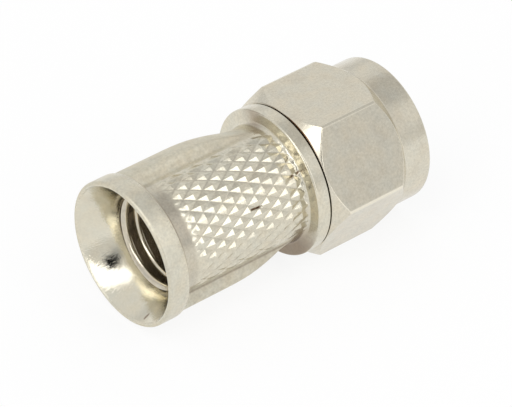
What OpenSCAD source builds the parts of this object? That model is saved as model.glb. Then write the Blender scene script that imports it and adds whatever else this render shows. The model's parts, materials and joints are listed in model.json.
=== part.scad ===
// Twist-on coaxial plug with a captive hex coupling nut, lying on one flat of the nut.
// The axis runs along X. The origin is on the axis at the contact plane, where the mating
// jack's end meets the ferrule's flange. +X points out of the mating end, +Z is up.

/* [Cable mouth] */
// Outside diameter of the rim round the cable mouth
rim_d = 10.68; // [10.2:0.02:11]
// Length of the rim along the axis
rim_l = 1.67; // [1:0.01:2.2]
// Diameter of the flared mouth at the lip
mouth_d = 10.1; // [9:0.05:10.15]
// Depth of the flare, from the lip to the cable bore
flare_l = 2.6; // [1.8:0.05:3.2]
// Bow of the flare's wall towards the axis, from a straight cone
flare_bow = 0.2; // [0.05:0.01:0.35]
// Root diameter of the threaded bore that the cable screws into
cable_bore_d = 7; // [6.2:0.05:7.4]
// Length of the cable bore behind the flare
cable_bore_l = 8; // [6:0.1:9]
// Rounding of the outer edge of the lip
lip_round = 0.22; // [0.05:0.01:0.25]

/* [Grip] */
// Length of the body from the lip to the front of its flange
body_l = 13.85; // [13:0.02:16]
// Diameter of the smooth barrel that carries the knurl
grip_d = 8.7; // [8.4:0.05:9]
// Smooth length between the rim's fillet and the start of the knurl
knurl_start = 0.9; // [0.05:0.05:3]
// Smooth length between the end of the knurl and the flange's fillet
knurl_land = 0.1; // [0.04:0.02:1]
// Number of knurl pyramids round the whole barrel
knurl_count = 30; // [24:2:40]
// Spacing of the knurl rows along the axis
knurl_pitch = 0.836; // [0.7:0.002:1.4]
// Distance from the start of the knurl to its first row of apexes
knurl_phase = 0.08; // [0.02:0.02:0.6]
// Turn of the knurl about the axis, from the middle of a wing
knurl_turn = 0; // [-3:0.1:3]
// Height of a full knurl pyramid
knurl_h = 0.15; // [0.1:0.01:0.4]
// Outside diameter of the flange behind the nut
flange_d = 10.96; // [10:0.02:10.98]
// Thickness of the flange
flange_t = 1.03; // [0.6:0.01:1.4]
// Rounding of the flange's front edge
flange_edge = 0.05; // [0.02:0.01:0.2]
// Fillet from the rim and the flange down to the barrel
barrel_fillet = 0.34; // [0.1:0.02:0.5]
// Rounding of the rear edges of the rim and the flange
edge_round = 0.14; // [0.04:0.01:0.2]

/* [Wings] */
// Diameter over the two smooth wings
wing_d = 10.4; // [9.4:0.02:10.6]
// Width of a wing
wing_w = 3.6; // [2.4:0.1:5]
// Turn of the wings about the axis, from level
wing_angle = 56; // [0:1:180]
// Straight length of the wings from the lip, before they curve down to the barrel
wing_straight = 6.2; // [4:0.1:8]
// Radius of the curve down to the barrel
wing_sweep_r = 16; // [8:0.5:20]
// Rounding of the long edges of a wing
wing_round = 0.6; // [0.2:0.05:0.8]

/* [Neck and ferrule] */
// Diameter of the neck that the nut turns on
neck_d = 7.24; // [6.8:0.02:7.6]
// Radial running clearance between the neck and the nut
running_clearance = 0.08; // [0.02:0.01:0.1]
// Gap between the body's flange and the nut
rear_play = 0.1; // [0.06:0.01:0.3]
// Gap between the nut's inner lip and the ferrule's flange
front_play = 0.15; // [0.1:0.01:0.3]
// Diameter of the ferrule's tube, pressed into the neck
ferrule_d = 6; // [5.6:0.05:6.4]
// Bore of the ferrule, for the cable's insulated core
ferrule_bore_d = 4.9; // [4.6:0.05:5.2]
// Length of the ferrule's tube behind its flange
ferrule_tube_l = 4; // [2.5:0.1:4.5]
// Diameter of the ferrule's flange
ferrule_flange_d = 8.3; // [8:0.05:8.6]
// Thickness of the ferrule's flange
ferrule_flange_t = 0.9; // [0.6:0.05:1.2]

/* [Coupling nut] */
// Width across the flats
nut_af = 11; // [10.8:0.05:12]
// Width across the blunted corners
nut_corner_d = 12.6; // [12.5:0.02:12.68]
// Overall length of the nut
nut_l = 9.15; // [8.6:0.05:11]
// Length of the hexagon with both chamfers
hex_l = 6.86; // [5.5:0.02:7.4]
// Slope of the hexagon's chamfers from the end faces, in degrees
chamfer_slope = 50; // [40:1:60]
// Diameter of the round collar at the mating end
collar_d = 10.74; // [10.5:0.02:10.8]
// Rounding of the collar's front edge
collar_round = 0.14; // [0.05:0.01:0.2]
// Major diameter of the coupling thread
thread_d = 9.525; // [9.2:0.005:9.8]
// Chamfer at the mouth of the coupling thread
thread_lead = 0.26; // [0.1:0.02:0.3]
// Diameter of the relief behind the coupling thread
relief_d = 9.9; // [9.85:0.05:10.1]
// Reach of the relief past the contact plane, where the coupling thread starts
relief_reach = 0.5; // [0.2:0.05:1]
// Thickness of the inner lip that holds the nut on the neck
nut_lip_t = 1.2; // [0.8:0.05:1.4]

/* [Hidden] */
$fn = 96;

// Stations along the axis, from the contact plane
neck_end = -ferrule_flange_t;
nut_lip_front = neck_end - front_play;
nut_rear = nut_lip_front - nut_lip_t;
nut_front = nut_rear + nut_l;
hex_front = nut_rear + hex_l;
flange_front = nut_rear - rear_play;
flange_rear = flange_front - flange_t;
lip = flange_front - body_l;
rim_rear = lip + rim_l;
flare_end = lip + flare_l;
cable_bore_end = flare_end + cable_bore_l;

// Radii
rim_r = rim_d / 2;
mouth_r = mouth_d / 2;
cable_bore_r = cable_bore_d / 2;
grip_r = grip_d / 2;
flange_r = flange_d / 2;
wing_r = wing_d / 2;
neck_r = neck_d / 2;
corner_r = nut_corner_d / 2;
flat_r = nut_af / 2;
collar_r = collar_d / 2;
thread_r = thread_d / 2;

// The flare is an arc from the cable bore to the lip, about a centre outside the wall
flare_rise = mouth_r - cable_bore_r;
flare_chord = norm([flare_rise, flare_l]);
flare_arc_r = (pow(flare_chord / 2, 2) + pow(flare_bow, 2)) / (2 * flare_bow);
flare_middle = [cable_bore_r + flare_rise / 2, flare_end - flare_l / 2];
flare_centre = flare_middle + (flare_arc_r - flare_bow) / flare_chord * [flare_l, flare_rise];

// Knurl lattice: each cell is half a pyramid wide and one row long. Its rows run past both ends
// of the knurl and are cut across there
half_turn = 180;
cell_angle = half_turn / knurl_count;
knurl_rear = rim_rear + barrel_fillet + knurl_start;
knurl_front = flange_rear - barrel_fillet - knurl_land;
first_row = knurl_rear + knurl_phase - knurl_pitch;
row_count = ceil((knurl_front - first_row) / knurl_pitch);
// The skin lifts the grooves just clear of the barrel, and the root anchors the knurl in it
knurl_skin = 0.02;
knurl_root = 0.3;
// The knurl rises from the wing's edge to its full height, in degrees, and its sides lie under the wings
wing_edge_angle = asin(wing_w / 2 / grip_r);
knurl_fade_angle = 14;
knurl_tuck_angle = 2;
knurl_edge_angle = wing_edge_angle - knurl_tuck_angle;
first_cell = floor((knurl_edge_angle - knurl_turn) / cell_angle);
last_cell = ceil((half_turn - knurl_edge_angle - knurl_turn) / cell_angle);

// The wings' turn about the axis before the plug is laid along X
wing_turn = wing_angle + 90;

overlap = 0.5;

// Points of an arc about a centre
function arc(centre, radius, from, to, steps = 6) = [
    for (k = [0 : steps])
        let (a = from + (to - from) * k / steps)
        centre + radius * [cos(a), sin(a)]
];

function smooth(t) = let (u = min(max(t, 0), 1)) u * u * (3 - 2 * u);

// Angle of knurl cell j from the middle of a wing
function cell_turn(j) = j * cell_angle + knurl_turn;

// Height of the knurl at row i and cell j: apexes and grooves alternate like a chessboard
function knurl_height(i, j) =
    let (apex = (i + j) % 2 == 1)
    let (from_wing = min(cell_turn(j), half_turn - cell_turn(j)) - wing_edge_angle)
    apex ? knurl_h * smooth(from_wing / knurl_fade_angle) : 0;

// Turns a shape built along Z so that it lies along X
module along_axis() {
    rotate([0, 90, 0])
        children();
}

// Outline of the body's outside, from the lip to the end of the neck
module body_outline() {
    polygon(concat(
        [[0, lip]],
        arc([rim_r - lip_round, lip + lip_round], lip_round, -90, 0),
        arc([rim_r - edge_round, rim_rear - edge_round], edge_round, 0, 90),
        arc([grip_r + barrel_fillet, rim_rear + barrel_fillet], barrel_fillet, -90, -180),
        arc([grip_r + barrel_fillet, flange_rear - barrel_fillet], barrel_fillet, 180, 90),
        arc([flange_r - edge_round, flange_rear + edge_round], edge_round, -90, 0),
        arc([flange_r - flange_edge, flange_front - flange_edge], flange_edge, 0, 90),
        [[neck_r, flange_front], [neck_r, neck_end], [0, neck_end]]
    ));
}

// Section of the two wings: a bar across the axis with a round crown and rounded long edges
module wing_section() {
    edge_offset = wing_w / 2 - wing_round;
    edge_centre = sqrt(pow(wing_r - wing_round, 2) - edge_offset * edge_offset);
    crown_angle = atan2(edge_offset, edge_centre);
    intersection() {
        circle(r = wing_r);
        for (side = [-1, 1])
            polygon([
                [0, 0],
                side * 2 * wing_r * [cos(crown_angle), sin(crown_angle)],
                side * 2 * wing_r * [cos(crown_angle), -sin(crown_angle)]
            ]);
    }
    square([2 * edge_centre, wing_w], center = true);
    for (x = [-1, 1], y = [-1, 1])
        translate([x * edge_centre, y * edge_offset])
            circle(r = wing_round);
}

// Length of the wings, straight from the rim and then swept down into the barrel
module wing_envelope() {
    sweep_from = lip + wing_straight;
    sweep_drop = wing_r - grip_r + overlap;
    sweep_angle = acos(1 - sweep_drop / wing_sweep_r);
    rotate_extrude()
        polygon(concat(
            [[0, rim_rear - overlap], [wing_r, rim_rear - overlap]],
            arc([wing_r - wing_sweep_r, sweep_from], wing_sweep_r, 0, sweep_angle, 12),
            [[0, sweep_from + wing_sweep_r * sin(sweep_angle)]]
        ));
}

module wings() {
    rotate([0, 0, wing_turn])
        intersection() {
            translate([0, 0, lip])
                linear_extrude(height = flange_front - lip)
                    wing_section();
            wing_envelope();
        }
}

// One field of diamond knurl between the wings: rows of four-sided pyramids on the barrel
module knurl_field() {
    columns = last_cell - first_cell;
    width = columns + 1;
    function on_barrel(radius, j, z) =
        let (a = cell_turn(first_cell + j))
        [radius * cos(a), radius * sin(a), z];
    outer = [
        for (i = [0 : row_count], j = [0 : columns])
            on_barrel(grip_r + knurl_skin + knurl_height(i, first_cell + j), j, first_row + i * knurl_pitch)
    ];
    inner = [
        for (z = [first_row, first_row + row_count * knurl_pitch], j = [0 : columns])
            on_barrel(grip_r - knurl_root, j, z)
    ];
    base = len(outer);
    function at(i, j) = i * width + j;
    // Each cell is split along its groove, so that each pyramid keeps four flat faces
    facets = [
        for (i = [0 : row_count - 1], j = [0 : columns - 1])
            each (i + j + first_cell) % 2 == 0
                ? [[at(i, j), at(i + 1, j + 1), at(i, j + 1)], [at(i, j), at(i + 1, j), at(i + 1, j + 1)]]
                : [[at(i, j), at(i + 1, j), at(i, j + 1)], [at(i + 1, j), at(i + 1, j + 1), at(i, j + 1)]]
    ];
    underside = [
        for (j = [0 : columns - 1])
            [base + j, base + j + 1, base + width + j + 1, base + width + j]
    ];
    ends = [
        for (j = [0 : columns - 1])
            each [
                [at(0, j), at(0, j + 1), base + j + 1, base + j],
                [at(row_count, j + 1), at(row_count, j), base + width + j, base + width + j + 1]
            ]
    ];
    // Each side is a fan from its inner rear corner
    low_corner = base;
    high_corner = base + columns;
    sides = concat(
        [for (i = [0 : row_count - 1]) [low_corner, at(i + 1, 0), at(i, 0)]],
        [for (i = [0 : row_count - 1]) [high_corner, at(i, columns), at(i + 1, columns)]],
        [[low_corner, low_corner + width, at(row_count, 0)]],
        [[high_corner, at(row_count, columns), high_corner + width]]
    );
    polyhedron(points = concat(outer, inner), faces = concat(facets, underside, ends, sides));
}

module knurl() {
    intersection() {
        for (side = [0, half_turn])
            rotate([0, 0, wing_turn + side])
                knurl_field();
        translate([0, 0, knurl_rear])
            cylinder(h = knurl_front - knurl_rear, r = rim_r);
    }
}

// Inside of the body: flared mouth, cable bore and the seat of the ferrule's tube
module body_bores() {
    rotate_extrude()
        difference() {
            translate([0, lip - overlap])
                square([rim_r, flare_l + overlap]);
            translate(flare_centre)
                circle(r = flare_arc_r);
        }
    translate([0, 0, flare_end - overlap])
        cylinder(h = cable_bore_l + overlap, r = cable_bore_r);
    translate([0, 0, cable_bore_end - overlap])
        cylinder(h = neck_end - cable_bore_end + 2 * overlap, d = ferrule_d);
}

module body() {
    color("silver")
        along_axis()
            difference() {
                union() {
                    rotate_extrude()
                        body_outline();
                    wings();
                    knurl();
                }
                body_bores();
            }
}

// Flanged bush pressed into the neck: its flange keeps the nut on and meets the jack
module retaining_ferrule() {
    color("lightgray")
        along_axis()
            difference() {
                union() {
                    translate([0, 0, neck_end])
                        cylinder(h = ferrule_flange_t, d = ferrule_flange_d);
                    translate([0, 0, neck_end - ferrule_tube_l])
                        cylinder(h = ferrule_tube_l + overlap, d = ferrule_d);
                }
                translate([0, 0, neck_end - ferrule_tube_l - overlap])
                    cylinder(h = ferrule_tube_l + ferrule_flange_t + 2 * overlap, d = ferrule_bore_d);
            }
}

// Turned envelope of the hexagon: its corners are blunted and both ends are chamfered
module hex_envelope() {
    rear_chamfer = (corner_r - flat_r) * tan(chamfer_slope);
    front_chamfer = (corner_r - collar_r) * tan(chamfer_slope);
    rotate_extrude()
        polygon([
            [0, nut_rear],
            [flat_r, nut_rear],
            [corner_r, nut_rear + rear_chamfer],
            [corner_r, hex_front - front_chamfer],
            [collar_r, hex_front],
            [0, hex_front]
        ]);
}

module collar() {
    rotate_extrude()
        polygon(concat(
            [[0, hex_front - overlap], [collar_r, hex_front - overlap]],
            arc([collar_r - collar_round, nut_front - collar_round], collar_round, 0, 90),
            [[0, nut_front]]
        ));
}

// Inside of the nut: the hole in its lip, the relief, the coupling thread and its lead-in
module nut_bores() {
    translate([0, 0, nut_rear - overlap])
        cylinder(h = nut_lip_t + 2 * overlap, r = neck_r + running_clearance);
    translate([0, 0, nut_lip_front])
        cylinder(h = relief_reach - nut_lip_front, d = relief_d);
    cylinder(h = nut_front + overlap, r = thread_r);
    translate([0, 0, nut_front - thread_lead])
        cylinder(h = 2 * thread_lead, r1 = thread_r, r2 = thread_r + 2 * thread_lead);
}

module coupling_nut() {
    color("gainsboro")
        along_axis()
            difference() {
                union() {
                    intersection() {
                        translate([0, 0, nut_rear])
                            rotate([0, 0, 30])
                                cylinder(h = hex_l, r = flat_r / cos(30), $fn = 6);
                        hex_envelope();
                    }
                    collar();
                }
                nut_bores();
            }
}

body();
coupling_nut();
retaining_ferrule();
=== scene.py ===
import json
import math

import bpy
import numpy as np
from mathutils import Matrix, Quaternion, Vector


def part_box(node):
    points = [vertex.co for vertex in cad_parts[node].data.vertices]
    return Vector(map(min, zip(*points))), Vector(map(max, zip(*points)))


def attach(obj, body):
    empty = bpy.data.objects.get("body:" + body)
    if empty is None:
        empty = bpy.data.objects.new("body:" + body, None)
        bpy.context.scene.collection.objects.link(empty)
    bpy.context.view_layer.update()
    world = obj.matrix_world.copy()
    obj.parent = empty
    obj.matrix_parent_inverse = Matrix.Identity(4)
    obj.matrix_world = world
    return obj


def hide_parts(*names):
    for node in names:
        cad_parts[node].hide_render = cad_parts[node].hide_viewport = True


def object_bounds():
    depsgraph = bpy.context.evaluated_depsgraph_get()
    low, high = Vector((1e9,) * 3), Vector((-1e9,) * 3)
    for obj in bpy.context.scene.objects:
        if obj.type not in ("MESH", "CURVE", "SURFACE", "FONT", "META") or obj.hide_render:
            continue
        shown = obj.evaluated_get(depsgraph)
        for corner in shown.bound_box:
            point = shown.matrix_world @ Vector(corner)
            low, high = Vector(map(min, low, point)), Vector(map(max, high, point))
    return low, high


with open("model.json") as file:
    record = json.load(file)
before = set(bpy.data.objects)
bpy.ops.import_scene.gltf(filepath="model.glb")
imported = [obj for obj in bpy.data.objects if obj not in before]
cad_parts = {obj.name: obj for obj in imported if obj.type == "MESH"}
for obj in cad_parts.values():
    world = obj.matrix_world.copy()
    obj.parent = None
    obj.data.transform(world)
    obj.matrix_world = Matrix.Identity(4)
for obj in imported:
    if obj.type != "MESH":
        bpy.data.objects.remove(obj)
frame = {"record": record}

# The plug lies along X with its mating end at +X. Sizes are in millimetres, as in the CAD source,
# and become metres when a mesh is made. Angles round the axis are in degrees, from +Y towards +Z.
MM = 0.001
cad_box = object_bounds()
scene = bpy.context.scene


# Sizes that come from the frame

def box_mm(node):
    """Lowest and highest corner of a CAD node, in millimetres."""
    low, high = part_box(node)
    return np.array(low) / MM, np.array(high) / MM


mount = {m["name"]: m for m in frame["record"]["mounts"]}
body_low, body_high = box_mm("body")
nut_low, nut_high = box_mm("coupling_nut")
ferrule_low, ferrule_high = box_mm("retaining_ferrule")

lip = body_low[0]
neck_end = body_high[0]
nut_rear, nut_front = nut_low[0], nut_high[0]
flat_r = nut_high[2]
corner_r = nut_high[1]
ferrule_rear, contact = ferrule_low[0], ferrule_high[0]
ferrule_flange_r = ferrule_high[1]
flare_end = mount["cable_entry"]["pos_m"][0] / MM
cable_bore_r = mount["cable_entry"]["dims"]["r_mm"]
cable_bore_end = flare_end + mount["cable_entry"]["dims"]["length_mm"]
core_r = mount["core_bore"]["dims"]["r_mm"]
thread_r = mount["coupling_thread"]["dims"]["r_mm"]
thread_start = mount["coupling_thread"]["pos_m"][0] / MM
thread_end = thread_start + mount["coupling_thread"]["dims"]["length_mm"]

# Sizes that repeat the CAD source's

rim_r = 5.34
rim_l = 1.67
mouth_r = 5.05
flare_bow = 0.2
lip_round = 0.22
grip_r = 4.35
flange_r = 5.48
flange_t = 1.03
flange_edge = 0.05
barrel_fillet = 0.34
edge_round = 0.14
knurl_start = 0.9
knurl_phase = 0.08
knurl_pitch = 0.836
knurl_count = 30
knurl_h = 0.15
knurl_skin = 0.02
wing_r = 5.2
wing_half_w = 1.8
wing_angle = 56
wing_straight = 6.2
wing_sweep_r = 16
wing_round = 0.6
neck_r = 3.62
running_clearance = 0.08
rear_play = 0.1
ferrule_r = 3.0
hex_l = 6.86
chamfer_slope = 50
collar_r = 5.37
collar_round = 0.14
thread_lead = 0.26
relief_r = 4.95
nut_lip_t = 1.2

rim_rear = lip + rim_l
flange_front = nut_rear - rear_play
flange_rear = flange_front - flange_t
knurl_rear = rim_rear + barrel_fillet + knurl_start
knurl_first_apex = knurl_rear + knurl_phase
wing_sweep_from = lip + wing_straight
hole_r = neck_r + running_clearance
hex_front = nut_rear + hex_l
nut_lip_front = nut_rear + nut_lip_t


# Curves

def arc(x, r, radius, start, end, steps):
    """Profile points on an arc about (x, r). Angles are in degrees, from +r towards +x."""
    turns = np.radians(np.linspace(start, end, steps + 1))
    return np.column_stack([x + radius * np.sin(turns), r + radius * np.cos(turns)])


def line(start, end, steps):
    """Profile points after start, up to and with end."""
    share = np.linspace(0, 1, steps + 1)[1:, None]
    return np.array(start) * (1 - share) + np.array(end) * share


def smooth_step(t):
    """Eases from 0 to 1 while t goes from 0 to 1."""
    t = np.clip(t, 0, 1)
    return t * t * (3 - 2 * t)


def rises(value, start, run):
    """Eases from 0 to 1 over a run that begins at start."""
    return smooth_step((value - start) / run)


def falls(value, end, run):
    """Eases from 1 to 0 over a run that stops at end."""
    return smooth_step((end - value) / run)


def spot(value, level, middle, width):
    """A soft spot: level at its middle, fading to 0 on both sides."""
    return level * np.exp(-((value - middle) / width) ** 2)


def smooth_max(a, b, width):
    """The larger of a and b, with a fillet where they cross."""
    return np.maximum(a, b) + np.maximum(width - np.abs(a - b), 0) ** 2 / (4 * width)


def smooth_min(a, b, width):
    """The smaller of a and b, with a rounding where they cross."""
    return -smooth_max(-a, -b, width)


# Meshes

def split_valleys(quads, r):
    """Cuts each quad along its lower diagonal, so that a groove between its corners stays open."""
    height = r.ravel()[quads]
    turned = height[:, 1] + height[:, 3] < height[:, 0] + height[:, 2]
    quads = np.where(turned[:, None], np.roll(quads, -1, axis=1), quads)
    return np.concatenate([quads[:, [0, 1, 2]], quads[:, [0, 2, 3]]])


def ring_mesh(name, x, r, angles, shades=None, valleys=False):
    """A closed ring of faces. x and r have one row per profile point and one column per angle."""
    rows, columns = r.shape
    x = np.broadcast_to(x, r.shape)
    turns = np.radians(angles)[None, :]
    points = np.stack([x, r * np.cos(turns), r * np.sin(turns)], axis=-1).reshape(-1, 3) * MM
    i, j = np.meshgrid(np.arange(rows), np.arange(columns), indexing="ij")
    row, next_row = i * columns, (i + 1) % rows * columns
    next_j = (j + 1) % columns
    corners = [row + j, row + next_j, next_row + next_j, next_row + j]
    faces = np.stack(corners, axis=-1).reshape(-1, 4)
    if valleys:
        faces = split_valleys(faces, r)
    return mesh_object(name, points, faces.tolist(), shades)


def point_normals(points, faces):
    """Area-weighted normals, so that flats stay flat beside their rounded edges."""
    no_length = 1e-30
    normals = np.zeros_like(points)
    for count in {len(f) for f in faces}:
        index = np.array([f for f in faces if len(f) == count])
        p = points[index]
        area = sum(np.cross(p[:, k] - p[:, 0], p[:, k + 1] - p[:, 0]) for k in range(1, count - 1))
        for k in range(count):
            np.add.at(normals, index[:, k], area)
    return normals / np.maximum(np.linalg.norm(normals, axis=1, keepdims=True), no_length)


def mesh_object(name, points, faces, shades=None):
    """A smooth mesh object. shades are values, or vectors of three, that each point carries."""
    mesh = bpy.data.meshes.new(name)
    mesh.from_pydata(points.tolist(), [], faces)
    mesh.update()
    mesh.polygons.foreach_set("use_smooth", np.ones(len(faces), bool))
    mesh.normals_split_custom_set_from_vertices(point_normals(points, faces).tolist())
    for key, values in (shades or {}).items():
        values = np.asarray(values, np.float32)
        single = values.size == len(points)
        layer = mesh.attributes.new(key, "FLOAT" if single else "FLOAT_VECTOR", "POINT")
        layer.data.foreach_set("value" if single else "vector", values.ravel())
    obj = bpy.data.objects.new(name, mesh)
    scene.collection.objects.link(obj)
    return obj


# Wings and knurl of the body

# Places of the rows and columns inside a knurl cell: close together at the edges of the pyramids
CELL_SHARES = np.array([0, 0.05, 0.2, 0.35, 0.5, 0.65, 0.8, 0.95])
cell_angle = 180 / knurl_count
wing_edge_angle = math.degrees(math.asin(wing_half_w / grip_r))
wing_edge_y = wing_half_w - wing_round
wing_edge_x = math.sqrt((wing_r - wing_round) ** 2 - wing_edge_y ** 2)
crown_angle = math.degrees(math.atan2(wing_edge_y, wing_edge_x))
side_angle = math.degrees(math.atan2(wing_half_w, wing_edge_x))
wing_fillet = 0.3
sweep_fillet = 0.12

# The knurl here runs up to the flange, crushed over its last stretch, and fades over a wider angle
# beside the wings than the CAD source's. It rises at each end over a run, at the rear after a delay
# that is a share of the run.
knurl_front = flange_rear - 0.06
knurl_front_run = 0.12
knurl_rear_run = 0.6
knurl_rear_delay = 0.2
knurl_fade_angle = 18
crush_l = 1.9

# Finish of the pyramids, as shares of their height: blunt apexes, fillets, and how uneven they are.
# The grooves wander where the knurl is crushed, by a share of a cell.
apex_top = 0.97
apex_fillet = 0.06
edge_fillet = 0.1
groove_fillet = 0.04
uneven = 0.12
crushed_uneven = 0.5
crushed_wander = 0.12


def cell_places(cells):
    """Places of all rows or columns over a number of cells, in cells."""
    return (np.arange(cells)[:, None] + CELL_SHARES).ravel()


def body_angles():
    """Columns of the body: fine round each wing's edges, and in step with the knurl between them."""
    half_wing = np.concatenate([
        np.linspace(0, crown_angle, 13)[1:],
        np.linspace(crown_angle, side_angle, 9)[1:],
        np.linspace(side_angle, wing_edge_angle, 7)[1:],
    ])
    field = cell_angle * cell_places(knurl_count)
    margin = wing_edge_angle + cell_angle / 20
    field = field[(field > margin) & (field < 180 - margin)]
    half_turn = np.concatenate([-half_wing[::-1], [0], half_wing, field])
    return wing_angle + np.concatenate([half_turn, half_turn + 180])


def wing_section(from_wing):
    """Radius of a wing's section at an angle from its middle: crown, rounded edges, flat sides."""
    a = np.radians(np.maximum(from_wing, 1e-6))
    along = wing_edge_x * np.cos(a) + wing_edge_y * np.sin(a)
    across = wing_edge_x * np.sin(a) - wing_edge_y * np.cos(a)
    corner = along + np.sqrt(np.maximum(wing_round ** 2 - across ** 2, 0))
    side = wing_half_w / np.sin(a)
    return np.where(from_wing < crown_angle, wing_r, np.where(from_wing < side_angle, corner, side))


def wing_sweep(x):
    """Radius of the arc that takes the wings down into the barrel. It ends well below the barrel."""
    drop = np.clip(x - wing_sweep_from, 0, wing_sweep_r * 0.6)
    return wing_r - wing_sweep_r + np.sqrt(wing_sweep_r ** 2 - drop ** 2)


def scatter(i, j):
    """A number from 0 to 1 that looks random for each pair of whole numbers."""
    return (np.sin(12.9898 * i + 78.233 * j) * 4375.85) % 1


def knurl_height(x, angle, from_wing):
    """Height of the knurl and how deep a point lies in its grooves, from 0 on an apex to 1.
    The knurl runs out beside the wings and the rim, and is crushed where it meets the flange."""
    along = (x - knurl_first_apex) / knurl_pitch
    across = (angle - wing_angle) / cell_angle
    crushed = smooth_step((x - flange_rear) / crush_l + 1)
    p = along + across + crushed_wander * crushed * np.sin(2.1 * along + 1.3 * across)
    q = along - across + crushed_wander * crushed * np.sin(1.7 * along - 2.3 * across + 1)
    cell_p, cell_q = np.round(p / 2), np.round(q / 2)
    share = 1 - smooth_max(np.abs(p - 2 * cell_p), np.abs(q - 2 * cell_q), edge_fillet)
    share = smooth_max(smooth_min(share, apex_top, apex_fillet), 0.0, groove_fillet)
    share = share * (1 - (uneven + crushed_uneven * crushed) * scatter(cell_p, cell_q))
    fade = rises(from_wing, wing_edge_angle, knurl_fade_angle)
    rear_end = smooth_step((x - knurl_rear) / knurl_rear_run - knurl_rear_delay)
    ends = rear_end * falls(x, knurl_front, knurl_front_run)
    return ends * (knurl_skin + knurl_h * fade * share), ends * fade * (1 - share)


# Short gouges: where each starts and ends, as x and angle, its half width and its depth
FLARE_SCRATCH = ((-15.9, 245.0), (-15.67, 242.0), 0.11, 0.01)
NICKS = [
    ((-8.0, 151.0), (-7.3, 152.2), 0.085, 0.12),
    ((-4.15, 140.6), (-4.0, 140.2), 0.085, 0.1),
    ((-3.6, 139.9), (-3.5, 139.0), 0.085, 0.08),
]


def unrolled(x, angle):
    """Places on the barrel, rolled out flat."""
    return np.stack(np.broadcast_arrays(x, grip_r * np.radians(angle)), axis=-1)


def gouge_share(x, angle, start, end, half_width):
    """How deep a point lies in a gouge, from 0 outside to 1 along its middle."""
    wall_steepness = 1.5
    first, last, here = unrolled(*start), unrolled(*end), unrolled(x, angle)
    way = last - first
    share = np.clip((here - first) @ way / (way @ way), 0, 1)
    distance = np.linalg.norm(here - first - share[..., None] * way, axis=-1)
    return smooth_step(wall_steepness * (1 - distance / half_width))


# Flare of the mouth: an arc that bows towards the axis

bell_low, bell_high = np.array([flare_end, cable_bore_r]), np.array([lip, mouth_r])
bell_chord = np.linalg.norm(bell_high - bell_low)
bell_r = ((bell_chord / 2) ** 2 + flare_bow ** 2) / (2 * flare_bow)
bell_out = np.array([mouth_r - cable_bore_r, flare_end - lip]) / bell_chord
bell_x, bell_y = (bell_low + bell_high) / 2 + (bell_r - flare_bow) * bell_out
bell_wave_h = 0.005


def bore_wall(x):
    """Radius of the body's inside along the cable bore and up its flare."""
    flare = bell_y - np.sqrt(bell_r ** 2 - (bell_x - np.minimum(x, flare_end)) ** 2)
    return np.where(x < flare_end, flare, cable_bore_r)


def bell_waves(x, angle):
    """The flare's polish is slightly uneven, which bends its reflections."""
    share = (x - lip) / (flare_end - lip)
    turn = np.radians(angle)
    waves = np.sin(5 * turn + 4 * share + 0.6) + 0.7 * np.sin(9 * turn - 6 * share)
    waves = waves + 0.5 * np.sin(14 * turn + 9 * share)
    return bell_wave_h * waves * np.sin(np.pi * np.clip(share, 0, 1))


# Rows of the body, as (x, r) points, from the lip round its outside, its neck and its bores

def rim_rows():
    """From the lip over the rim to the top of its rear face."""
    return np.concatenate([
        arc(lip + lip_round, rim_r - lip_round, lip_round, -90, 0, 8),
        line((lip + lip_round, rim_r), (rim_rear - edge_round, rim_r), 4),
        arc(rim_rear - edge_round, rim_r - edge_round, edge_round, 0, 80, 6)[1:],
    ])


def grip_rows(face_top):
    """From the rim's rear face along the barrel to the flange. They carry the wings and the knurl."""
    face_draft = 0.03
    knurl_step = 0.02
    # The knurl's rows are counted off past the barrel's end and then cut there
    knurl = knurl_first_apex + knurl_pitch * cell_places(knurl_count)
    knurl = knurl[knurl < flange_rear - barrel_fillet - knurl_pitch / 20]
    fillet = arc(rim_rear + barrel_fillet, grip_r + barrel_fillet, barrel_fillet, 265, 180, 7)
    return np.concatenate([
        line(face_top, (rim_rear + face_draft, fillet[0][1]), 4)[:-1],
        fillet,
        line(fillet[-1], (knurl_rear - knurl_step, grip_r), 7),
        [(knurl_rear, grip_r)],
        np.column_stack([knurl, np.full_like(knurl, grip_r)]),
        arc(flange_rear - barrel_fillet, grip_r + barrel_fillet, barrel_fillet, 180, 95, 7),
    ])


def inside_rows(barrel_end):
    """From the barrel's end over the flange and the neck, and back through the bores to the lip."""
    neck_fillet = 0.1
    neck_edge = 0.06
    mouth_edge = 0.02
    mouth_bevel = 0.012
    bell = np.linspace(flare_end, lip, 29)[1:-1]
    return np.concatenate([
        line(barrel_end, (flange_rear, flange_r - edge_round), 4)[:-1],
        arc(flange_rear + edge_round, flange_r - edge_round, edge_round, -90, 0, 6),
        line((flange_rear + edge_round, flange_r), (flange_front - flange_edge, flange_r), 3)[:-1],
        arc(flange_front - flange_edge, flange_r - flange_edge, flange_edge, 0, 90, 6),
        line((flange_front, flange_r - flange_edge), (flange_front, neck_r + neck_fillet), 2),
        arc(flange_front + neck_fillet, neck_r + neck_fillet, neck_fillet, 270, 180, 3)[1:],
        line((flange_front + neck_fillet, neck_r), (neck_end - neck_edge, neck_r), 2),
        arc(neck_end - neck_edge, neck_r - neck_edge, neck_edge, 0, 90, 3)[1:],
        line((neck_end, neck_r - neck_edge), (neck_end, ferrule_r), 2),
        line((neck_end, ferrule_r), (cable_bore_end, ferrule_r), 2),
        line((cable_bore_end, ferrule_r), (cable_bore_end, cable_bore_r), 2),
        line((cable_bore_end, cable_bore_r), (flare_end, cable_bore_r), 4),
        np.column_stack([bell, bore_wall(bell)]),
        line((lip + mouth_edge, mouth_r - mouth_bevel), (lip, mouth_r + mouth_edge), 2),
        line((lip, mouth_r + mouth_edge), (lip, rim_r - lip_round), 2)[:-1],
    ])


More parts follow.
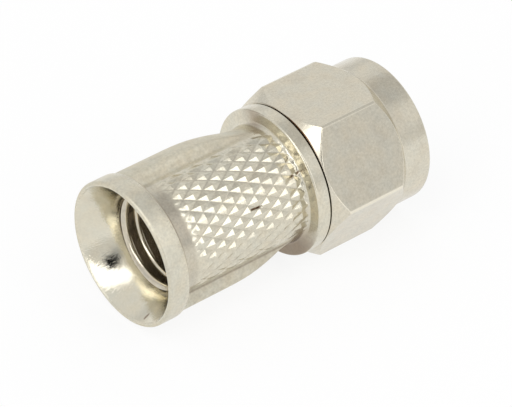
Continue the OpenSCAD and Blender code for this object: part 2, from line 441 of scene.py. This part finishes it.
def body_profile():
    """All rows of the body, and which of them carry the wings and the knurl."""
    rim = rim_rows()
    grip = grip_rows(rim[-1])
    inside = inside_rows(grip[-1])
    carries = np.repeat([False, True, False], [len(rim), len(grip), len(inside)])
    return np.concatenate([rim, grip, inside]), carries


# Painted shade of the body, from 0 to 1, in brown: in the corners behind the rim and the flange, along
# the creases of the wings, in the knurl's grooves and down the cable bore. The nicks and the flare's
# scratch are darkened with it too. A spot is its level and, as angles, its middle and its width.
# The first crease spot counts its angles from the middle of a wing.
RIM_EDGE_SHADE = 0.15
RIM_EDGE_SPOT = (0.5, 128, 30)
RIM_LAND_SHADE = 0.16
RIM_LAND_SPOT = (0.14, 132, 22)
FLANGE_LOW_SHADE = 0.62
FLANGE_TOP_SPOT = (0.45, 74, 12)
WING_CREASE_SHADE = (0.1, wing_edge_angle - 1, 3)
LOW_WING_CREASE_SHADE = (0.5, wing_angle + 180 - wing_edge_angle - 0.2, 0.8)
GROOVE_SHADE = 0.06
# The nicks and the flare's scratch are darkened
NICK_DARKENING = 0.95
SCRATCH_DARKENING = 0.8
BORE_SHADE = 0.5

# Finish of the body: below 0 it is polished, and 1 is the dullest
BELL_MATTE = -0.5
RIM_MATTE = 0.4
LIP_ADDED_MATTE = 0.6

# How far the noise of the flare's polishing lines moves for each millimetre along it, and for each
# radian round it
LINES_ALONG = 0.4
LINES_AROUND = 5


def painted_corner_shade(x, turn, beside_wing):
    """Painted shade in the corners behind the rim and the flange, darkest low on the flange."""
    on_edge = RIM_EDGE_SHADE + spot(turn, *RIM_EDGE_SPOT)
    on_land = RIM_LAND_SHADE + spot(turn, *RIM_LAND_SPOT)
    edge_end = rim_rear + 0.01
    rim_zone = rises(x, rim_rear - edge_round, run=0.07) * falls(x, knurl_rear + 0.5, run=0.6)
    behind_rim = beside_wing * rim_zone * np.where(x < edge_end, on_edge, on_land)
    low = FLANGE_LOW_SHADE * rises(turn, 180, run=48) * falls(turn, 325, run=55)
    top = spot(turn, *FLANGE_TOP_SPOT)
    low_zone = rises(x, flange_rear - 1.1, run=0.8)
    top_zone = rises(x, flange_rear - 0.45, run=0.3)
    up_to_flange = falls(x, flange_rear + 0.08, run=0.05)
    behind_flange = np.maximum(low * low_zone, top * top_zone) * up_to_flange
    return np.maximum(behind_rim, behind_flange)


def grip_surface(x, r, angle, from_wing, corners):
    """Radius and darkening of the wing and knurl rows, with the nicks cut in: painted shade, and darker
    nicks.
    """
    wing = smooth_min(wing_section(from_wing), wing_sweep(x), sweep_fillet)
    height, depth = knurl_height(x, angle, from_wing)
    radius = smooth_max(r + height, wing, wing_fillet)
    # Painted shade along the creases of the wings and deep in the knurl's grooves
    creases = np.maximum(spot(from_wing, *WING_CREASE_SHADE), spot(angle % 360, *LOW_WING_CREASE_SHADE))
    grooves = GROOVE_SHADE * rises(depth, 0.5, run=0.5)
    shade_and_marks = np.maximum(grooves, np.maximum(corners, creases))
    for start, end, half_width, nick_depth in NICKS:
        share = gouge_share(x, angle, start, end, half_width)
        radius = radius - nick_depth * share
        shade_and_marks = np.maximum(shade_and_marks, NICK_DARKENING * share)
    return radius, shade_and_marks


def make_body():
    """The body, with its painted shade and darkened nicks, its dull and polished zones and its flare's
    polishing lines.
    """
    angles = body_angles()
    profile, carries = body_profile()
    x, r = profile[:, :1], np.repeat(profile[:, 1:], len(angles), axis=1)
    angle = angles[None, :]
    from_wing = np.abs((angle - wing_angle + 90) % 180 - 90)
    row, front_row = np.arange(len(profile))[:, None], np.argmax(profile[:, 0])
    outer, inner = row < front_row, row > front_row
    grips = carries[:, None]
    bell_end, bell_mouth = flare_end - 1e-6, lip + 0.01
    bell = inner & (x < bell_end) & (x > bell_mouth)
    bore = inner & (x >= bell_end)
    rim = outer & (x < rim_rear - edge_round)

    corners = painted_corner_shade(x, angle % 360, rises(from_wing, side_angle, run=6))
    grip, grip_shade_and_marks = grip_surface(x, r, angle, from_wing, corners)
    start, end, half_width, scratch_depth = FLARE_SCRATCH
    scratch = gouge_share(x, angle, start, end, half_width)
    flare = r + bell_waves(x, angle) + scratch_depth * scratch
    r = np.where(grips, grip, np.where(bell, flare, r))

    # Painted shade down the cable bore, and the flare's scratch darkened
    inside_shade_and_marks = np.where(bore, BORE_SHADE, np.where(bell, SCRATCH_DARKENING * scratch, 0))
    shade_and_marks = np.where(grips, grip_shade_and_marks, np.where(outer, corners, inside_shade_and_marks))
    wing_width = falls(from_wing, wing_edge_angle + 9, run=7)
    on_wing = rises(wing_sweep(x), grip_r - 0.3, run=0.3) * wing_width
    rim_matte = RIM_MATTE + LIP_ADDED_MATTE * falls(x, lip + lip_round, lip_round)
    matte = np.where(bell, BELL_MATTE, np.where(grips, on_wing, np.where(rim, rim_matte, 0)))
    round_axis = [LINES_AROUND * np.cos(np.radians(angle)), LINES_AROUND * np.sin(np.radians(angle))]
    lay = np.stack(np.broadcast_arrays(LINES_ALONG * x, *round_axis), axis=-1) * bell[..., None]
    shades = {"shade_and_marks": shade_and_marks, "matte": matte, "lay": lay}
    return ring_mesh("plug_body", x, r, angles, shades, valleys=True)


# Nut and ferrule

# Painted shadow at the nut's rear edge, and wear on its corners: level all round, and spots as for the
# body. The spot on the corners adds a painted highlight on the lower corner.
NUT_REAR_SHADOW_SPOT = (1, 108, 34)
CORNER_WEAR = 0.35
CORNER_HIGHLIGHT_SPOT = (0.55, 180, 20)


def hex_angles():
    """Columns of the nut, fine at the six corners."""
    blunt = 30 - math.degrees(math.acos(flat_r / corner_r))
    half = np.concatenate([
        np.linspace(0, 24, 9),
        [26, 27.5, 28.4],
        30 - blunt * np.array([1.35, 1, 0.6, 0.25]),
    ])
    sector = np.concatenate([-half[:0:-1], half])
    return np.concatenate([90 + sector + 60 * k for k in range(6)])


def rounded(corners, columns, steps):
    """Rows along a polyline with rounded corners. Each corner is its x, its r and the reach of its
    rounding, and its x and r may have one value per column."""
    most_share = 0.45
    ones = np.ones(columns)
    points = [np.stack([x * ones, r * ones], axis=-1) for x, r, _ in corners]
    rows = [points[0]]
    for k in range(1, len(points) - 1):
        here = points[k]
        to_before, to_after = points[k - 1] - here, points[k + 1] - here
        length_before = np.linalg.norm(to_before, axis=-1, keepdims=True)
        length_after = np.linalg.norm(to_after, axis=-1, keepdims=True)
        reach = np.minimum(corners[k][2], most_share * np.minimum(length_before, length_after))
        first = here + to_before / length_before * reach
        last = here + to_after / length_after * reach
        for t in np.linspace(0, 1, steps + 1):
            rows.append(first * (1 - t) ** 2 + here * 2 * t * (1 - t) + last * t ** 2)
    rows.append(points[-1])
    return rows


def split_rows(rows, most, values):
    """Adds rows in between, so that no step is longer than most, and the values that go with them."""
    out, out_values = [], []
    for k in range(len(rows) - 1):
        step, change = rows[k + 1] - rows[k], values[k + 1] - values[k]
        count = max(1, math.ceil(np.linalg.norm(step, axis=-1).max() / most))
        out += [rows[k] + step * n / count for n in range(count)]
        out_values += [values[k] + change * n / count for n in range(count)]
    return np.array(out + [rows[-1]]), np.array(out_values + [values[-1]])


def nut_corners(hex_r):
    """Corners of the nut's section, from a seam in its hole round the hexagon, collar and thread."""
    seam_start, seam_end = nut_rear + 0.6, nut_rear + 0.7
    rear_step = 0.02
    chamfer_rise = math.tan(math.radians(chamfer_slope))
    rear_r = flat_r - rear_step
    rear_break = nut_rear + (hex_r - rear_r) * chamfer_rise
    front_break = hex_front - (hex_r - collar_r) * chamfer_rise
    return [
        (seam_start, hole_r, 0),
        (nut_rear, hole_r, 0.1),
        (nut_rear, rear_r, 0.05),
        (rear_break, hex_r, 0.07),
        (front_break, hex_r, 0.07),
        (hex_front, collar_r, 0.1),
        (nut_front, collar_r, collar_round * 1.3),
        (nut_front, thread_r + thread_lead, 0.05),
        (thread_end, thread_r, 0.05),
        (thread_start, thread_r, 0.05),
        (thread_start, relief_r, 0.04),
        (nut_lip_front, relief_r, 0.1),
        (nut_lip_front, hole_r, 0.1),
        (seam_end, hole_r, 0),
    ]


def make_nut():
    """The nut, with painted shadow along the edge between its rear face and its rear chamfer."""
    steps = 4
    longest_step = 0.7
    shade_ends = (0.03, 0.05)
    worn_depth = 0.02
    angles = hex_angles()
    turn = angles % 360
    from_flat = np.abs((angles - 90 + 30) % 60 - 30)
    hex_r = np.minimum(flat_r / np.cos(np.radians(from_flat)), corner_r)
    rows = rounded(nut_corners(hex_r), len(angles), steps)
    # The painted shadow stops between two close rows just past the foot of the chamfer
    foot = 2 * (steps + 1)
    chamfer = rows[foot + 1] - rows[foot]
    rows[foot + 1:foot + 1] = [rows[foot] + chamfer * share for share in shade_ends]
    on_edge = np.isin(np.arange(len(rows)), range(foot - 2, foot + 2)).astype(float)
    rows, shade_and_marks = split_rows(rows, longest_step, on_edge)
    # Wear on every corner, and a painted highlight on the lower corner
    worn_and_lit = CORNER_WEAR + spot(turn, *CORNER_HIGHLIGHT_SPOT)
    shades = {
        "shade_and_marks": shade_and_marks[:, None] * spot(turn, *NUT_REAR_SHADOW_SPOT),
        "wear_and_highlight": worn_and_lit * (rows[:, :, 1] > corner_r - worn_depth),
    }
    return ring_mesh("nut_shell", rows[:, :, 0], rows[:, :, 1], angles, shades)


def make_ferrule():
    """The flanged bush that keeps the nut on the neck."""
    steps = 4
    longest_step = 0.8
    columns = 96
    seam_start, seam_end = ferrule_rear + 1.0, ferrule_rear + 0.9
    corners = [
        (seam_start, core_r, 0),
        (contact, core_r, 0.12),
        (contact, ferrule_flange_r, 0.1),
        (neck_end, ferrule_flange_r, 0.1),
        (neck_end, ferrule_r, 0.06),
        (ferrule_rear, ferrule_r, 0.1),
        (ferrule_rear, core_r, 0.12),
        (seam_end, core_r, 0),
    ]
    rows = rounded(corners, columns, steps)
    rows, _ = split_rows(rows, longest_step, np.zeros(len(rows)))
    rows = rows[::-1]
    return ring_mesh("ferrule_bush", rows[:, :, 0], rows[:, :, 1], np.arange(columns) * 360 / columns)


# Threads

cable_pitch = 1.0
cable_crest_at = flare_end + 0.38
cable_first_turn = -0.5
cable_run_out = 0.7
coupling_pitch = 25.4 / 32
coupling_base_w = 0.7


def thread_wall(x):
    """Radius of the plain bore that carries the coupling thread."""
    return np.full_like(x, thread_r)


def make_thread(name, crest_at, turns, pitch, wall, crest_r, base_w, crest_w, fade):
    """The turns of a right-handed inside thread: a ridge along a helix that fades out at both ends.
    crest_at is the place of its crest at angle 0, and turns the first and last turn from there."""
    steps_per_turn = 72
    sink = 0.06
    end_rise = 0.02
    flank_share = 0.45
    first, last = turns
    count = round((last - first) * steps_per_turn)
    turn = np.linspace(first, last, count + 1)[:, None]
    rise = end_rise + (1 - end_rise) * rises(turn, first, fade) * falls(turn, last, fade)
    middle_w = crest_w + flank_share * (base_w - crest_w)
    half = np.array([base_w, base_w, middle_w, crest_w]) / 2
    offsets = np.concatenate([-half, half[::-1]])
    lift = np.array([0, 0, 0.5, 1, 1, 0.5, 0, 0])
    x = crest_at + pitch * turn + offsets
    radius = wall(x) - (wall(x) - crest_r) * rise * lift
    radius[:, [0, -1]] += sink
    a = 2 * np.pi * turn
    points = np.stack([x, radius * np.cos(a), radius * np.sin(a)], axis=-1).reshape(-1, 3) * MM
    width = len(offsets)
    faces = []
    for i in range(count):
        for k in range(width):
            n = (k + 1) % width
            faces.append([i * width + k, i * width + n, (i + 1) * width + n, (i + 1) * width + k])
    faces.append(list(reversed(range(width))))
    faces.append([count * width + k for k in range(width)])
    return mesh_object(name, points, faces)


def make_cable_thread():
    """The coarse thread that screws onto the cable's jacket."""
    turns = (cable_first_turn, (cable_bore_end - cable_run_out - cable_crest_at) / cable_pitch)
    return make_thread(
        "cable_thread", cable_crest_at, turns, cable_pitch, bore_wall,
        crest_r=3.2, base_w=0.6, crest_w=0.2, fade=0.25)


def make_coupling_thread():
    """The thread of 32 turns to the inch that screws onto the jack."""
    turns = (0, (thread_end - thread_start - coupling_base_w) / coupling_pitch)
    return make_thread(
        "coupling_thread_turns", thread_start + coupling_base_w / 2, turns, coupling_pitch, thread_wall,
        crest_r=4.33, base_w=coupling_base_w, crest_w=0.12, fade=0.7)


# Materials

# Brown of the stains, also used for painted shade and for the darkened nicks
STAIN_AND_SHADE_BROWN = (0.12, 0.045, 0.01)
# Lighter tint of worn corners, also used for the painted highlight
WEAR_AND_HIGHLIGHT_TINT = (0.86, 0.81, 0.68)
WARM = (1.02, 1.0, 0.97)
COOL = (0.98, 1.0, 1.02)
# Noises, as their scale and detail. The scales are cells per metre, but for the polishing lines.
PATCHES = (900, 4)
SPECKS = (5800, 3)
STAINS = (700, 5)
SATIN = (2600, 4)
GRAIN = (3800, 3)
LINES = (12, 3)
# Brightness of the dark and the light specks, and the share of them that the polished flare loses
SPECK_LEVELS = (0.92, 1.08)
POLISHED_SHARE = 0.7
# Share of tarnish in the stains, and the range of their noise where it sets in
STAIN_SHARE = 0.1
STAIN_RANGE = (0.5, 0.75)
# The roughness varies between these shares of itself
SATIN_LEVELS = (0.85, 1.2)
# Height of the grain and of the polishing lines, in metres
RELIEF = 0.00002
LINES_STRENGTH = 0.5
# How the finish attribute scales the roughness, from the polished flare to the dullest zones
POLISHED_ROUGHNESS = 0.16
DULL_ROUGHNESS = 2.68


class ShaderTree:
    """The nodes of a material or a world, with short calls for the ones that are used here."""

    def __init__(self, owner):
        owner.use_nodes = True
        self.nodes = owner.node_tree.nodes
        self.links = owner.node_tree.links

    def link(self, output, socket):
        self.links.new(output, socket)

    def attribute(self, key, output="Fac"):
        """What the mesh's points carry under this name, or 0 where they carry nothing."""
        node = self.nodes.new("ShaderNodeAttribute")
        node.attribute_name = key
        return node.outputs[output]

    def noise(self, where, scale, detail):
        """A cloudy value between 0 and 1 at each place."""
        node = self.nodes.new("ShaderNodeTexNoise")
        node.inputs["Scale"].default_value = scale
        node.inputs["Detail"].default_value = detail
        self.link(where, node.inputs["Vector"])
        return node.outputs["Fac"]

    def ramp(self, value, low, high, at=(0.3, 0.7), easing="LINEAR"):
        """Low to high while the value crosses a range, which by default suits a noise."""
        node = self.nodes.new("ShaderNodeMapRange")
        node.interpolation_type = easing
        node.inputs["From Min"].default_value, node.inputs["From Max"].default_value = at
        node.inputs["To Min"].default_value, node.inputs["To Max"].default_value = low, high
        self.link(value, node.inputs["Value"])
        return node.outputs["Result"]

    def times(self, first, second):
        """The product of two outputs."""
        node = self.nodes.new("ShaderNodeMath")
        node.operation = "MULTIPLY"
        self.link(first, node.inputs[0])
        self.link(second, node.inputs[1])
        return node.outputs[0]

    def mix(self, factor, first, second):
        """First to second, each a colour or an output, while the factor goes from 0 to 1."""
        node = self.nodes.new("ShaderNodeMix")
        node.data_type = "RGBA"
        self.link(factor, node.inputs["Factor"])
        for name, value in (("A", first), ("B", second)):
            socket = [s for s in node.inputs if s.name == name and s.type == "RGBA"][0]
            if isinstance(value, tuple):
                socket.default_value = (*value, 1)
            else:
                self.link(value, socket)
        return [s for s in node.outputs if s.type == "RGBA"][0]

    def relief(self, height, strength):
        """A bump node, whose full height is RELIEF."""
        node = self.nodes.new("ShaderNodeBump")
        node.inputs["Distance"].default_value = RELIEF
        node.inputs["Strength"].default_value = strength
        self.link(height, node.inputs["Height"])
        return node


def nickel(name, colour, roughness, grain):
    """Nickel plate: faint warm and cool patches and a satin grain. Where the mesh has the attributes,
    it turns brown with painted shade and darkened nicks, lighter with wear and a painted highlight,
    duller where matte, and lay draws fine polishing lines."""
    material = bpy.data.materials.new(name)
    tree = ShaderTree(material)
    shader = tree.nodes["Principled BSDF"]
    shader.inputs["Metallic"].default_value = 1.0
    place = tree.nodes.new("ShaderNodeTexCoord").outputs["Object"]
    matte = tree.attribute("matte")
    patches = tree.ramp(tree.noise(place, *PATCHES), 0, 1)

    def patchy(level):
        warm = tuple(level * c * k for c, k in zip(colour, WARM))
        cool = tuple(level * c * k for c, k in zip(colour, COOL))
        return tree.mix(patches, warm, cool)

    dark, light = SPECK_LEVELS
    tint = tree.mix(tree.ramp(tree.noise(place, *SPECKS), 0, 1), patchy(dark), patchy(light))
    tint = tree.mix(tree.ramp(matte, POLISHED_SHARE, 0, (BELL_MATTE, 0)), tint, patchy(1.0))
    tint = tree.mix(tree.ramp(tree.noise(place, *STAINS), 0, STAIN_SHARE, STAIN_RANGE), tint, STAIN_AND_SHADE_BROWN)
    tint = tree.mix(tree.attribute("wear_and_highlight"), tint, WEAR_AND_HIGHLIGHT_TINT)
    # Painted shade in brown, and the darkened nicks
    tint = tree.mix(tree.attribute("shade_and_marks"), tint, STAIN_AND_SHADE_BROWN)
    tree.link(tint, shader.inputs["Base Color"])

    smoothest, roughest = SATIN_LEVELS
    satin = tree.ramp(tree.noise(place, *SATIN), roughness * smoothest, roughness * roughest)
    finish = tree.ramp(matte, POLISHED_ROUGHNESS, DULL_ROUGHNESS, (BELL_MATTE, 1))
    tree.link(tree.times(satin, finish), shader.inputs["Roughness"])

    grains = tree.relief(tree.noise(place, *GRAIN), grain)
    lines = tree.relief(tree.noise(tree.attribute("lay", "Vector"), *LINES), LINES_STRENGTH)
    tree.link(grains.outputs["Normal"], lines.inputs["Normal"])
    tree.link(lines.outputs["Normal"], shader.inputs["Normal"])
    return material


# Pieces

def dress(obj, body, slot, material, *nodes):
    """Gives a piece its material and its body, and hides the CAD nodes that it stands for. Its slot is
    not used.
    """
    obj.data.materials.append(material)
    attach(obj, body)
    if nodes:
        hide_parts(*nodes)


body_nickel = nickel("body_nickel_plate", (0.7, 0.66, 0.545), roughness=0.22, grain=0.25)
nut_nickel = nickel("nut_nickel_plate", (0.69, 0.645, 0.535), roughness=0.2, grain=0.3)
# A darker copy of the body's nickel: painted shade for the thread inside the cable bore
shaded_thread_nickel = nickel("thread_nickel_plate", (0.6, 0.55, 0.45), roughness=0.16, grain=0.3)

dress(make_body(), "body", "body_nickel", body_nickel, "body")
dress(make_nut(), "nut", "nut_nickel", nut_nickel, "coupling_nut")
dress(make_ferrule(), "body", "ferrule_nickel", nut_nickel, "retaining_ferrule")
dress(make_cable_thread(), "body", "body_nickel", shaded_thread_nickel)
dress(make_coupling_thread(), "nut", "nut_nickel", nut_nickel)


# Stage: floor, studio light and camera. Its sizes are in metres.

FLOOR_HALF = 1.5
FLOOR_GREY = 0.94
FLOOR_WHITE_SEEN = 0.86
FLOOR_WHITE_MIRRORED = 0.7
# Brightness of the sky by the sine of the elevation
SKY = [(0.0, 0.94), (0.05, 0.87), (0.13, 0.77), (0.25, 0.74), (0.38, 0.88), (0.6, 0.89)]
# A dim round ceiling: where it is, its brightness, and the angles from its middle where it fades
CEILING_TOWARDS = (0.45, 0.02, 0.89)
CEILING_LEVEL = 0.7
CEILING_EDGE = 34
CEILING_CORE = 14
# The camera that was fitted to the photo
SENSOR_MM = 36
LENS_MM = 246.09
CAMERA_PLACE = (-0.12813, -0.14887, 0.14385)
CAMERA_TOWARDS = (0.5113, 0.6154, -0.5999)
CAMERA_NEAREST = 0.001


def flat_sheet(name, points, material):
    """An object of one flat face."""
    mesh = bpy.data.meshes.new(name)
    mesh.from_pydata(points, [], [list(range(len(points)))])
    mesh.materials.append(material)
    sheet = bpy.data.objects.new(name, mesh)
    scene.collection.objects.link(sheet)
    return sheet


def paper(name, grey):
    """A matt grey material, as the material itself, its tree and its shader's output."""
    material = bpy.data.materials.new(name)
    tree = ShaderTree(material)
    tree.nodes.remove(tree.nodes["Principled BSDF"])
    shader = tree.nodes.new("ShaderNodeBsdfDiffuse")
    shader.inputs["Color"].default_value = (grey, grey, grey, 1)
    tree.link(shader.outputs[0], tree.nodes["Material Output"].inputs["Surface"])
    return material, tree, shader.outputs[0]


def seen_white(tree, straight, mirrored):
    """How white a surface is to rays that look straight at it, or see it in metal or through glass."""
    path = tree.nodes.new("ShaderNodeLightPath")
    levels = {"Is Camera Ray": straight, "Is Glossy Ray": mirrored, "Is Transmission Ray": mirrored}
    total = None
    for ray, level in levels.items():
        node = tree.nodes.new("ShaderNodeMath")
        node.operation = "MULTIPLY_ADD"
        tree.link(path.outputs[ray], node.inputs[0])
        node.inputs[1].default_value = level
        node.inputs[2].default_value = 0
        if total is not None:
            tree.link(total, node.inputs[2])
        total = node.outputs[0]
    return total


def make_floor():
    """Pale paper that takes the plug's shadow, and is nearly white to the camera."""
    half = FLOOR_HALF
    z = cad_box[0].z
    material, tree, matt = paper("floor_paper", FLOOR_GREY)
    glow = tree.nodes.new("ShaderNodeEmission")
    both = tree.nodes.new("ShaderNodeMixShader")
    tree.link(seen_white(tree, FLOOR_WHITE_SEEN, FLOOR_WHITE_MIRRORED), both.inputs["Fac"])
    tree.link(matt, both.inputs[1])
    tree.link(glow.outputs[0], both.inputs[2])
    tree.link(both.outputs[0], tree.nodes["Material Output"].inputs["Surface"])
    points = [(-half, -half, z), (half, -half, z), (half, half, z), (-half, half, z)]
    floor = flat_sheet("floor", points, material)


def make_world():
    """White to the camera. All else sees a sky that is dimmer low down and towards the ceiling."""
    world = bpy.data.worlds.new("studio")
    scene.world = world
    tree = ShaderTree(world)
    direction = tree.nodes.new("ShaderNodeTexCoord").outputs["Generated"]
    parts = tree.nodes.new("ShaderNodeSeparateXYZ")
    tree.link(direction, parts.inputs[0])
    sky = tree.nodes.new("ShaderNodeValToRGB")
    for place, _ in SKY[2:]:
        sky.color_ramp.elements.new(place)
    for element, (place, level) in zip(sky.color_ramp.elements, SKY):
        element.position = place
        element.color = (level, level, level, 1)
    tree.link(parts.outputs["Z"], sky.inputs[0])

    near_ceiling = tree.nodes.new("ShaderNodeVectorMath")
    near_ceiling.operation = "DOT_PRODUCT"
    near_ceiling.inputs[1].default_value = CEILING_TOWARDS
    tree.link(direction, near_ceiling.inputs[0])
    fade = (math.cos(math.radians(CEILING_EDGE)), math.cos(math.radians(CEILING_CORE)))
    ceiling = tree.ramp(near_ceiling.outputs["Value"], 1.0, CEILING_LEVEL, fade, "SMOOTHSTEP")
    shade = tree.nodes.new("ShaderNodeVectorMath")
    shade.operation = "SCALE"
    tree.link(sky.outputs["Color"], shade.inputs[0])
    tree.link(ceiling, shade.inputs["Scale"])

    to_camera = tree.nodes.new("ShaderNodeLightPath").outputs["Is Camera Ray"]
    seen = tree.mix(to_camera, shade.outputs["Vector"], (1, 1, 1))
    tree.link(seen, tree.nodes["Background"].inputs["Color"])


def towards(azimuth, elevation):
    """Direction from the plug, in degrees from +X towards +Y and up from level."""
    a, e = math.radians(azimuth), math.radians(elevation)
    return Vector((math.cos(e) * math.cos(a), math.cos(e) * math.sin(a), math.sin(e)))


def softbox(name, direction, distance, width, height, radiance, roll=0):
    """A rectangular lamp in a direction from the plug, with the given brightness in reflections."""
    lamp = bpy.data.lights.new(name, "AREA")
    lamp.shape = "RECTANGLE"
    lamp.size, lamp.size_y = width, height
    lamp.energy = radiance * math.pi * width * height
    obj = bpy.data.objects.new(name, lamp)
    scene.collection.objects.link(obj)
    obj.location = direction * distance
    obj.rotation_mode = "QUATERNION"
    upright = (-direction).to_track_quat("-Z", "Y")
    obj.rotation_quaternion = upright @ Quaternion((0, 0, 1), math.radians(roll))


def dark_card(name, direction, distance, radius, grey):
    """A round card that only shows in reflections, as the photographer's camera does."""
    corners = 48
    turns = np.radians(np.arange(corners) * 360 / corners)
    points = np.column_stack([radius * np.cos(turns), radius * np.sin(turns), np.zeros(corners)])
    material, _, _ = paper(name, grey)
    card = flat_sheet(name, points.tolist(), material)
    card.location = direction * distance
    card.rotation_mode = "QUATERNION"
    card.rotation_quaternion = (-direction).to_track_quat("Z", "Y")
    card.visible_camera = False
    card.visible_diffuse = False
    card.visible_shadow = False


def make_camera():
    """The photo's own view."""
    camera = bpy.data.cameras.new("camera")
    camera.sensor_width = SENSOR_MM
    camera.lens = LENS_MM
    camera.clip_start = CAMERA_NEAREST
    obj = bpy.data.objects.new("camera", camera)
    scene.collection.objects.link(obj)
    scene.camera = obj
    obj.location = CAMERA_PLACE
    obj.rotation_mode = "QUATERNION"
    obj.rotation_quaternion = Vector(CAMERA_TOWARDS).to_track_quat("-Z", "Y")


make_floor()
make_world()
make_camera()
softbox("front_box", towards(-77, 38), distance=0.5, width=0.11, height=0.84, radiance=1.5, roll=-8)
softbox("mouth_box", towards(-163, 42), distance=0.5, width=0.22, height=0.6, radiance=1.6)
dark_card("camera_card", towards(-133.4, 38), distance=0.27, radius=0.055, grey=0.01)
dark_card("photographer_card", towards(-112, 33), distance=0.4, radius=0.085, grey=0.5)
scene.view_settings.view_transform = "Standard"
